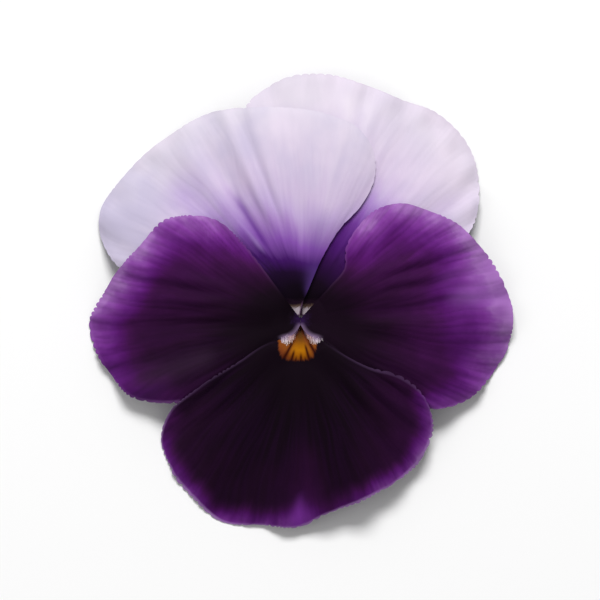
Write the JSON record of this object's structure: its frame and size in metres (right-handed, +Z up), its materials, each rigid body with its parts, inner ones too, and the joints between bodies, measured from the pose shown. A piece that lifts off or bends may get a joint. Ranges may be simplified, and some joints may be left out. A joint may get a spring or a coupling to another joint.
{
  "type": "pansy flower",
  "caption": "Pansy bloom picked with a short stalk, lying face up: pale lilac upper petals, dark purple side and lower petals, yellow eye.",
  "frame": {"origin": "on the surface that the flower lies on, under the middle of its box in plan", "axes": "+Z up out of the face, +Y up the face towards the two upper petals, +X to the right of the face"},
  "size_m": [0.0652, 0.0706, 0.0123],
  "materials": {
    "upper_petal": "satin",
    "side_petal": "satin",
    "lower_petal": "satin",
    "stalk": "satin",
    "sepal": "satin",
    "pistil": "satin",
    "anther": "matte"
  },
  "bodies": {
    "root": {"upper_right_petal": "upper_petal", "upper_left_petal": "upper_petal", "left_side_petal": "side_petal", "right_side_petal": "side_petal", "lower_petal": "lower_petal", "receptacle_and_stalk": "stalk", "sepal_top": "sepal", "sepal_left": "sepal", "sepal_right": "sepal", "sepal_lower_left": "sepal", "sepal_lower_right": "sepal", "pistil": "pistil", "stamen_1": "anther", "stamen_2": "anther", "stamen_3": "anther", "stamen_4": "anther", "stamen_5": "anther"}
  },
  "joints": []
}
